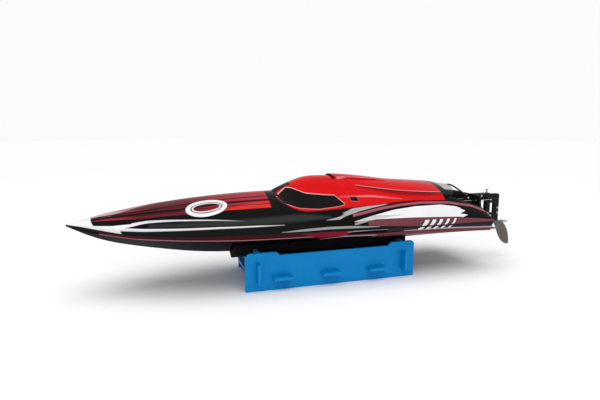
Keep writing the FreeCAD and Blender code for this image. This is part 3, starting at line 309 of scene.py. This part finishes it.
BLACK = (0.0035, 0.0035, 0.004)
WHITE = (0.86, 0.86, 0.88)
SILVER = (0.4, 0.4, 0.41)
RED = (0.66, 0.005, 0.007)
ORANGE_RED = (0.68, 0.03, 0.018)
CRIMSON = (0.42, 0.025, 0.04)
MAROON = (0.1, 0.008, 0.014)
ROSE = (0.34, 0.09, 0.115)
PLUM = (0.17, 0.05, 0.06)
NAVY = (0.035, 0.03, 0.04)
PAINTED_SHEEN_GREY = (0.035, 0.037, 0.037)
TAIL_GREY = (0.45, 0.46, 0.45)
PAINTED_NOSE_HIGHLIGHT = (0.62, 0.46, 0.49)
KITE_RED = (0.26, 0.012, 0.025)
PALE_ROSE = (0.55, 0.42, 0.46)
SHADED_RED = (0.2, 0.0, 0.006)
PAINTED_SHADE_BLACK = (0.03, 0.001, 0.003)
BARE_INSIDE = (0.022, 0.022, 0.024)  # unpainted moulding, seen when the hatch is off
LOOKS_DOWN, LOOKS_UP, TURN = -0.35, 0.3, 0.1  # the upward part of a normal, and the blend at its limit

print("boat and stand", round((design_high.x - design_low.x) * MM), "mm long")

# %% [markdown]
# ## The deck
# The real deck is moulded black and masked in stages: a white nose, a fan of red stripes that runs
# from the nose to the cockpit, two ring marks, then slashes, a white panel and red lines on the flanks.
# Later coats cover earlier ones, so the order below is the order in the spray booth.

# %% Deck paint: fan of stripes and white nose
deck = Scheme("deck scheme", BLACK)
fan_edge = [(40, 15), (54, 21), (85, 31), (135, 46), (205, 59), (327, 68), (415, 70)]
inner_gap = [(40, 8), (85, 17), (135, 27), (205, 31), (415, 30)]
outer_gap = [(40, 12), (85, 23), (135, 34), (205, 45), (415, 45)]
glow = deck.line([(40, 0.2), (80, 0.7), (105, 0.6), (135, 0.1), (220, 0.12), (300, 0.7), (360, 1.0),
                  (415, 1.0)], span=1.0)
fan_red = deck.layer(MAROON, CRIMSON, glow)
deck.band(fan_red, [(40, 0), (415, 0)], fan_edge, deck.out)
deck.band(ORANGE_RED, [(286, 65), (328, 56), (370, 51), (415, 49)],
          [(286, 65.5), (327, 68), (370, 69.5), (415, 70)], deck.out)
deck.band(ORANGE_RED, [(80, 20), (97, 24), (116, 29)], [(80, 23), (97, 28), (116, 31)], deck.out)
# A pale pink patch on the foredeck is a painted highlight.
deck.band(PAINTED_NOSE_HIGHLIGHT, [(40, 0), (150, 0)], [(40, 14), (85, 17), (150, 3)], deck.out, 7.0, 0.85)
deck.stripe(BLACK, inner_gap, 1.8, deck.out)
deck.stripe(BLACK, outer_gap, 3.0, deck.out)
for part_way in (0.22, 0.62, 0.84):
    fine_line = [(aft, edge * part_way) for aft, edge in fan_edge[2:]]
    deck.stripe(BLACK, fine_line, 1.1, deck.out, share=0.8)
deck.band(BLACK, [(384, 0), (425, 0)], [(384, 90), (425, 90)], deck.out)
nose_line = deck.line([(0, 44), (18, 46), (26, 50), (60, 62)], deck.out, LONG, TALL)
deck.lay(WHITE, 1.0 - deck.aft.above(nose_line, 1.0))
deck.band(WHITE, [(44, 25), (62, 33), (85, 42), (120, 51), (150, 57.5)],
          [(44, 60), (62, 45), (85, 50), (120, 55.5), (150, 58.5)], deck.out, 1.2)
print("fan edge goes from", fan_edge[0][1], "to", fan_edge[-1][1], "mm out")

# %% Deck paint: black edge, painted highlight lines and rings
deck.band(BLACK, [(-5, 130), (30, 130), (90, 120)], [(-5, 141.5), (30, 137.5), (90, 128.5)])
# The two thin white lines are painted highlights: one higher on the deck side, one on the knuckle's rounded
# edge.
upper_highlight_marks = [(120, 50), (148, 56.5), (221, 74), (298, 90.5), (325, 96)]
deck.stripe(WHITE, upper_highlight_marks, [0.6, 2.4, 1.4, 0.8, 0.2], deck.out, 1.2, 0.85)
knuckle_highlight_marks = [(60, 136), (138, 134.4), (205, 135.4), (277, 136.8), (352, 137.2), (400, 137)]
deck.stripe(WHITE, knuckle_highlight_marks, [3.0, 2.4, 1.8, 1.5, 1.2, 0.2], deck.up, 1.2, 0.9)


def oval_distance(scheme, aft, out, half_long, half_wide):
    """Distance from an oval's centre, 1 on its edge."""
    u = (scheme.aft - aft) / half_long
    v = (scheme.out - out) / half_wide
    return (u * u + v * v).root()


ring_place = (259, 50)
for outer, inner in (((40, 23.5), (31, 15.5)), ((28.5, 13.2), (25.5, 10.5))):
    inside_outer = 1.0 - oval_distance(deck, *ring_place, *outer).above(1.0, 0.03)
    outside_inner = oval_distance(deck, *ring_place, *inner).above(1.0, 0.03)
    deck.lay(WHITE, inside_outer * outside_inner)
print("rings centred", ring_place[0], "mm aft and", ring_place[1], "mm out")

# %% Deck paint: flanks
deck.band(SILVER, [(394, 122), (440, 122), (490, 123), (534, 122), (600, 121)],
          [(394, 123), (440, 126.5), (490, 128), (534, 127), (600, 122)], share=0.9)
deck.band(SILVER, [(488, 139.5), (516, 139.5), (532, 145), (560, 151)],
          [(488, 140), (516, 144), (534, 149.5), (560, 152)])
deck.band(SILVER, [(526, 149), (551, 150), (597, 157), (630, 161.5)],
          [(526, 150), (551, 157.5), (597, 160.5), (630, 162.5)])
deck.band(SILVER, [(545, 128), (590, 135), (640, 143), (660, 147)],
          [(545, 131), (590, 141), (640, 149), (660, 152)], share=0.8)
shoulder = [(546, 147), (612, 157), (660, 162), (708, 164), (776, 161), (843, 149), (888, 132)]
deck.band(ROSE, shifted(shoulder, -4.5), shoulder)
deck.band(PLUM, [(575, 124), (634, 120), (690, 116), (888, 100)],
          [(575, 134), (634, 135.5), (690, 134), (771, 129.5), (838, 123), (888, 117)])
white_top = [(546, 134.5), (594, 143.5), (643, 151.5), (692, 155.5), (755, 155.5), (793, 150),
             (813, 143), (830, 138)]
white_low = [(546, 133.5), (592, 136), (637, 135.5), (684, 134.5), (746, 131.5), (793, 129), (830, 124)]
torn_end = deck.line([(120, 828), (127, 806), (131, 822), (135, 800), (139, 818), (144, 806), (150, 812),
                      (160, 800)], deck.up, LONG, TALL)
whole = deck.between(deck.up, deck.line(white_low), deck.line(white_top))
deck.lay(WHITE, whole * deck.stretch(546, torn_end))
deck.band(SILVER, [(546, 133.5), (592, 136), (660, 141)],
          [(546, 134.5), (592, 143.5), (660, 141.5)], share=0.6)
print("white panel from", white_top[0][0], "to", white_top[-1][0], "mm aft")

# %% Deck paint: painted grey sheen on the black sides
# Soft grey bands on the black flanks are a painted sheen, standing in for gloss reflections.
deck.band(PAINTED_SHEEN_GREY, [(150, 139.5), (300, 140), (440, 141), (500, 143)],
          [(150, 143), (300, 148), (440, 152), (500, 146)], soft=5.0, share=0.8)
print("deck nodes before the bars", len(deck.tree.nodes))

# %% [markdown]
# Racing boats often carry a name on the flank. This one carries five plain slanted bars. Each leans aft
# as it rises, so the bars are drawn on aft minus a share of height. They cross the seam, so deck and hull
# both get them.

# %% Deck and hull: slanted bars
def slanted_bars(scheme):
    first, pitch, width, thinner, edge = 612.0, 19.0, 11.0, 1.3, 1.5
    lean = scheme.aft - scheme.up * 0.75
    foot, head = scheme.line([(560, 108), (888, 104)]), scheme.line([(560, 131), (888, 124)])
    rows = scheme.between(scheme.up, foot, head)
    for count in range(5):
        start = first + pitch * count
        end = start + width - thinner * count
        outline = scheme.between(lean, start - edge, end + edge)
        stroke = scheme.between(lean, start, end)
        scheme.lay(BLACK, outline * rows)
        scheme.lay(WHITE, stroke * rows)


slanted_bars(deck)
deck.lay(BARE_INSIDE, 1.0 - deck.facing_up.above(LOOKS_DOWN, TURN))
finishes["deck_paint"] = deck.dry()
print("deck nodes", len(deck.tree.nodes))

# %% [markdown]
# ## The hull
# Below the seam the sides are dark maroon with a rose line and a thin silver line on the chine, which are a
# painted highlight on its edge, then a red kite and silver streaks amidships and a navy band to the stern.
# The V bottom stays black.

# %% Hull paint
hull = Scheme("hull scheme", BLACK, shine=0.2, base_shine=0.0)
chine = [(60, 122), (130, 114), (215, 110), (320, 107), (450, 106), (620, 100), (888, 90)]
hull.band(MAROON, chine, [(60, 128), (130, 121.5), (215, 119), (450, 117), (888, 110)], share=0.75)
# The rose line and the thin silver line on the chine edge are a painted highlight.
hull.band(ROSE, shifted(chine, -0.5), shifted(chine, 2.2))
hull.band(SILVER, shifted(chine[1:6], 0.4), shifted(chine[1:6], 1.5), share=0.5)
hull.band(BLACK, [(520, 106), (560, 108), (640, 106), (700, 108)],
          [(520, 122), (560, 122), (640, 122), (700, 118)])
hull.band(KITE_RED, [(436, 115), (455, 109), (484, 97), (528, 105), (546, 116)],
          [(436, 116), (465, 119.5), (502, 120), (530, 119), (546, 117)])
hull.band(SILVER, [(530, 113), (590, 114), (640, 113), (690, 112)],
          [(530, 114), (590, 119), (640, 120), (690, 115)])
hull.band(SILVER, [(484, 92), (530, 99), (590, 98), (650, 97)],
          [(484, 93.5), (530, 103), (590, 102), (650, 98)])
hull.band(NAVY, [(620, 108), (750, 107), (888, 100)], [(620, 118), (750, 117), (888, 112)])
hull.band(PLUM, [(600, 84), (888, 80)], [(600, 104), (700, 106), (777, 103), (888, 100)])
hull.band(PALE_ROSE, [(660, 106.5), (750, 105), (888, 97.5)], [(660, 108), (750, 108), (888, 100.5)])
slanted_bars(hull)
hull.lay(BARE_INSIDE, hull.facing_up.above(LOOKS_UP, TURN))
finishes["bottom_paint"] = hull.dry()
print("hull nodes", len(hull.tree.nodes))

# %% [markdown]
# ## The hatch
# The cockpit hatch is one bright red moulding. Shade is painted along the crease under its shoulder, as a
# darker red band and a black line, with a painted highlight line above the crease and a painted reflection as
# a pale wedge on the side.
# Its tail is masked grey and black where it meets the well.

# %% Hatch paint
hatch = Scheme("hatch scheme", RED)
crease = [(575, 197), (625, 190), (669, 184.5), (720, 180.5), (771, 177.5)]
# Painted shade under the crease: a darker red band, then a black line in the crease, and a painted highlight
# line above it.
hatch.band(SHADED_RED, shifted(crease, [0, -5, -7, -6, -3]), crease, soft=5.0, share=0.8)
hatch.band(PAINTED_SHADE_BLACK, shifted(crease, -0.8), shifted(crease, 1.2))
hatch.band((0.9, 0.42, 0.45), shifted(crease, 1.4), shifted(crease, 2.6), soft=1.2, share=0.6)
# A pale wedge on the hatch side is a painted reflection.
hatch.band((0.85, 0.3, 0.34), [(530, 178.5), (600, 176.5), (668, 170.5)],
           [(530, 179), (600, 179.5), (668, 171)], soft=2.0, share=0.75)
hatch.lay(BLACK, hatch.aft.above(771.0, 1.0))
hatch.lay(TAIL_GREY, hatch.aft.above(788.0, 2.0) * (1.0 - hatch.out.above(58.0, 1.0)))
print("crease falls from", crease[0][1], "to", crease[-1][1], "mm up")

# %% Hatch paint: pale line round the side windows, painted highlight and painted shade at the scoop
window_top = [(403, 180), (427, 196.5), (437, 196), (460, 187), (500, 183), (521, 181.5), (537, 165.5)]
window_foot = [(403, 180), (412, 171), (440, 162.5), (480, 159.5), (522, 162.5), (537, 165.5)]
hatch.band((0.78, 0.5, 0.52), window_top, shifted(window_top, 1.5), soft=0.5, share=0.85)
hatch.band((0.6, 0.25, 0.28), shifted(window_foot, -1.3), window_foot, soft=0.5, share=0.7)
# A pale line along the scoop's side edge is a painted highlight, and black at its front is painted shade for
# its mouth.
hatch.band((0.85, 0.36, 0.4), [(540, 23), (600, 21), (655, 12)],
           [(540, 25), (600, 23.5), (655, 13)], hatch.out, soft=1.0, share=0.6)
hatch.band(PAINTED_SHADE_BLACK, [(530, 0), (534.5, 0)], [(530, 27), (534.5, 27)], hatch.out)
print("side window from", window_top[0][0], "to", window_top[-1][0], "mm aft")

# %% [markdown]
# A small plain vent sits on each side of the hatch, 16 mm long and 7 mm high. Here it is only painted: a
# light rim first, and inside it the dark opening as painted shade. Cutting it into the moulding would give it
# depth too.
# Last, faces that look down are the inside of the moulding, and stay bare.

# %% Vent in the hatch paint
# The second, darker colour is painted shade for the vent's opening.
for colour, grow in (((0.5, 0.12, 0.14), 0.9), ((0.012, 0.004, 0.004), 0.0)):
    front, back = 553 - grow, 569 + grow
    foot = [(front, 171 - grow), (back, 169.5 - grow)]
    head = [(front, 178 + grow), (back, 177 + grow)]
    hatch.band(colour, foot, head, soft=0.6)
hatch.lay(BARE_INSIDE, 1.0 - hatch.facing_up.above(LOOKS_DOWN, TURN))
finishes["hatch_paint"] = hatch.dry()
print("hatch nodes", len(hatch.tree.nodes))

# %% [markdown]
# ## One finish for each part
# The record names a material slot for every part of the design, and each finish above is named for a
# slot, so one loop dresses the whole boat. A part whose shape is already right needs nothing more.

# %% Give every node its finish
slot_of = {row["node"]: row["material_slot"] for row in frame["record"]["subparts"]}
for name, node in nodes.items():
    node.data.materials.clear()
    node.data.materials.append(finishes[slot_of[name]])
print("nodes finished", len(slot_of))

# %% [markdown]
# ## The foam bed
# The boat rests on a block of black packing foam, cut to the V of the hull. Cut foam has soft edges and
# open cells, which a sharp solid lacks. A merged copy of the design's block keeps the fit under the hull,
# and a small rounding of its edges gives the softness.

# %% Foam bed
bpy.ops.object.select_all(action="DESELECT")
bpy.context.view_layer.objects.active = nodes["foam_bed"]
nodes["foam_bed"].select_set(True)
bpy.ops.object.duplicate()
foam = bpy.context.object
foam.name = "foam_saddle"
bpy.ops.object.mode_set(mode="EDIT")
bpy.ops.mesh.select_all(action="SELECT")
bpy.ops.mesh.remove_doubles(threshold=0.00001)
bpy.ops.mesh.dissolve_limited(angle_limit=math.radians(2))
bpy.ops.mesh.customdata_custom_splitnormals_clear()
bpy.ops.object.mode_set(mode="OBJECT")
softened = foam.modifiers.new("cut_edges", "BEVEL")
softened.width = 0.0012
softened.segments, softened.limit_method = 2, "ANGLE"
softened.angle_limit = math.radians(35)
bpy.ops.object.modifier_apply(modifier=softened.name)
bpy.ops.object.shade_smooth_by_angle(angle=math.radians(40))
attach(foam, "stand")
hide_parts("foam_bed")
print("foam faces", len(foam.data.polygons), "size", [round(v, 3) for v in foam.dimensions])

# %% [markdown]
# ## The cooling hose
# A silicone hose leaves a gland in the stern well, arches over and pushes onto a nipple on the stern
# plate. It is stiff enough to hold its arch. A NURBS line through the design's own route gives one smooth
# bend, and a round bevel gives it its thickness.

# %% Cooling hose
route = [(835, 28, 133), (835, 28, 162), (839, 22, 181), (848, 4, 184.5), (862, -20, 168.8),
         (872.5, -20, 161.45)]
line = bpy.data.curves.new("cooling_hose", "CURVE")
line.dimensions, line.bevel_depth, line.bevel_resolution, line.resolution_u = "3D", 0.002, 6, 16
line.use_fill_caps = True
spline = line.splines.new("NURBS")
spline.points.add(len(route) - 1)
for knot, (aft, across, high) in zip(spline.points, route):
    knot.co = (aft / MM + design_low.x, across / MM, high / MM, 1.0)
spline.order_u, spline.use_endpoint_u = 3, True
hose = bpy.data.objects.new("cooling_hose", line)
bpy.context.collection.objects.link(hose)
line.materials.append(finishes["silicone"])
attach(hose, "boat")
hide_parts("stern_hose")

# %% [markdown]
# ## The studio
# Gloss paint shows what is around it, so the surroundings matter as much as the lamps. A very wide pale
# disc is the floor. One broad overhead light gives the whole floor the same brightness and puts a soft
# shadow under the hull, and a narrow strip draws a line along the flank. The white surroundings light the
# boat at under half the strength at which they are seen, which keeps black paint black.

# %% Floor
bpy.ops.object.select_all(action="DESELECT")
bpy.ops.mesh.primitive_circle_add(vertices=96, radius=9.0, fill_type="NGON", location=(0, 0, 0))
floor = bpy.context.object
floor.name = "studio_floor"
paper = Finish("pale paper floor", {"Specular IOR Level": 0.1})
fibre = paper.noise(90.0, 4.0)
pale = paper.layer((0.95, 0.95, 0.952), (0.975, 0.975, 0.975), fibre)
paper.feed(paper.shader, {"Base Color": pale, "Roughness": 0.8 + fibre * 0.1})
paper.raised(fibre, 0.0001)
floor.data.materials.append(paper.material)
print("floor radius", floor.dimensions.x / 2)


# %% Lights and white surroundings
def lamp(kind, name, place, aim, energy, **shape):
    light = bpy.data.lights.new(name, kind)
    light.energy = energy
    for setting, value in shape.items():
        setattr(light, setting, value)
    stand = bpy.data.objects.new(name, light)
    stand.location = place
    stand.rotation_euler = (Vector(aim) - Vector(place)).to_track_quat("-Z", "Y").to_euler()
    bpy.context.collection.objects.link(stand)
    return stand


sun_strength, strip_watts = 1.9, 5.0
white_lighting, white_seen = 0.45, 0.96
overhead = lamp("SUN", "broad_overhead", (-0.1, -0.3, 2.0), (0, 0, 0), sun_strength,
                angle=math.radians(70))
strip = lamp("AREA", "front_strip", (-0.5, -1.7, 1.25), (0, 0, 0.12), strip_watts,
             shape="RECTANGLE", size=1.9, size_y=0.07)
overhead.visible_glossy = False
world = bpy.data.worlds.new("white studio")
world.use_nodes = True
air = Nodes(world.node_tree)
white = (1.0, 1.0, 1.0)
lit = air.tree.nodes["Background"]
air.feed(lit, {"Color": white, "Strength": white_lighting})
seen = air.add("Background", None, {"Color": white, "Strength": white_seen})
looked_at = air.add("LightPath").outputs["Is Camera Ray"]
choose = air.add("MixShader", None, {0: looked_at, 1: lit.outputs[0], 2: seen.outputs[0]})
air.feed(air.tree.nodes["World Output"], {"Surface": choose.outputs[0]})
bpy.context.scene.world = world
bpy.context.scene.view_settings.view_transform = "Standard"
print("lamps", overhead.name, strip.name)

# %% [markdown]
# ## Camera
# A 28 mm lens stands close to the port bow, a little above deck height. Near lenses stretch what is
# close, so the bow looks large and the transom small, as a visitor leaning over the bench would see it.

# %% Camera
turn, dip = math.radians(17.3), math.radians(9.4)
ahead = Vector((math.sin(turn) * math.cos(dip), math.cos(turn) * math.cos(dip), -math.sin(dip)))
lens = bpy.data.cameras.new("bench_camera")
lens.lens, lens.sensor_width = 28.2, 36.0
camera = bpy.data.objects.new("bench_camera", lens)
camera.location = (-0.345, -0.964, 0.332)
camera.rotation_euler = ahead.to_track_quat("-Z", "Y").to_euler()
bpy.context.collection.objects.link(camera)
bpy.context.scene.camera = camera
print("camera stands", round(camera.location.length, 3), "m from the origin")
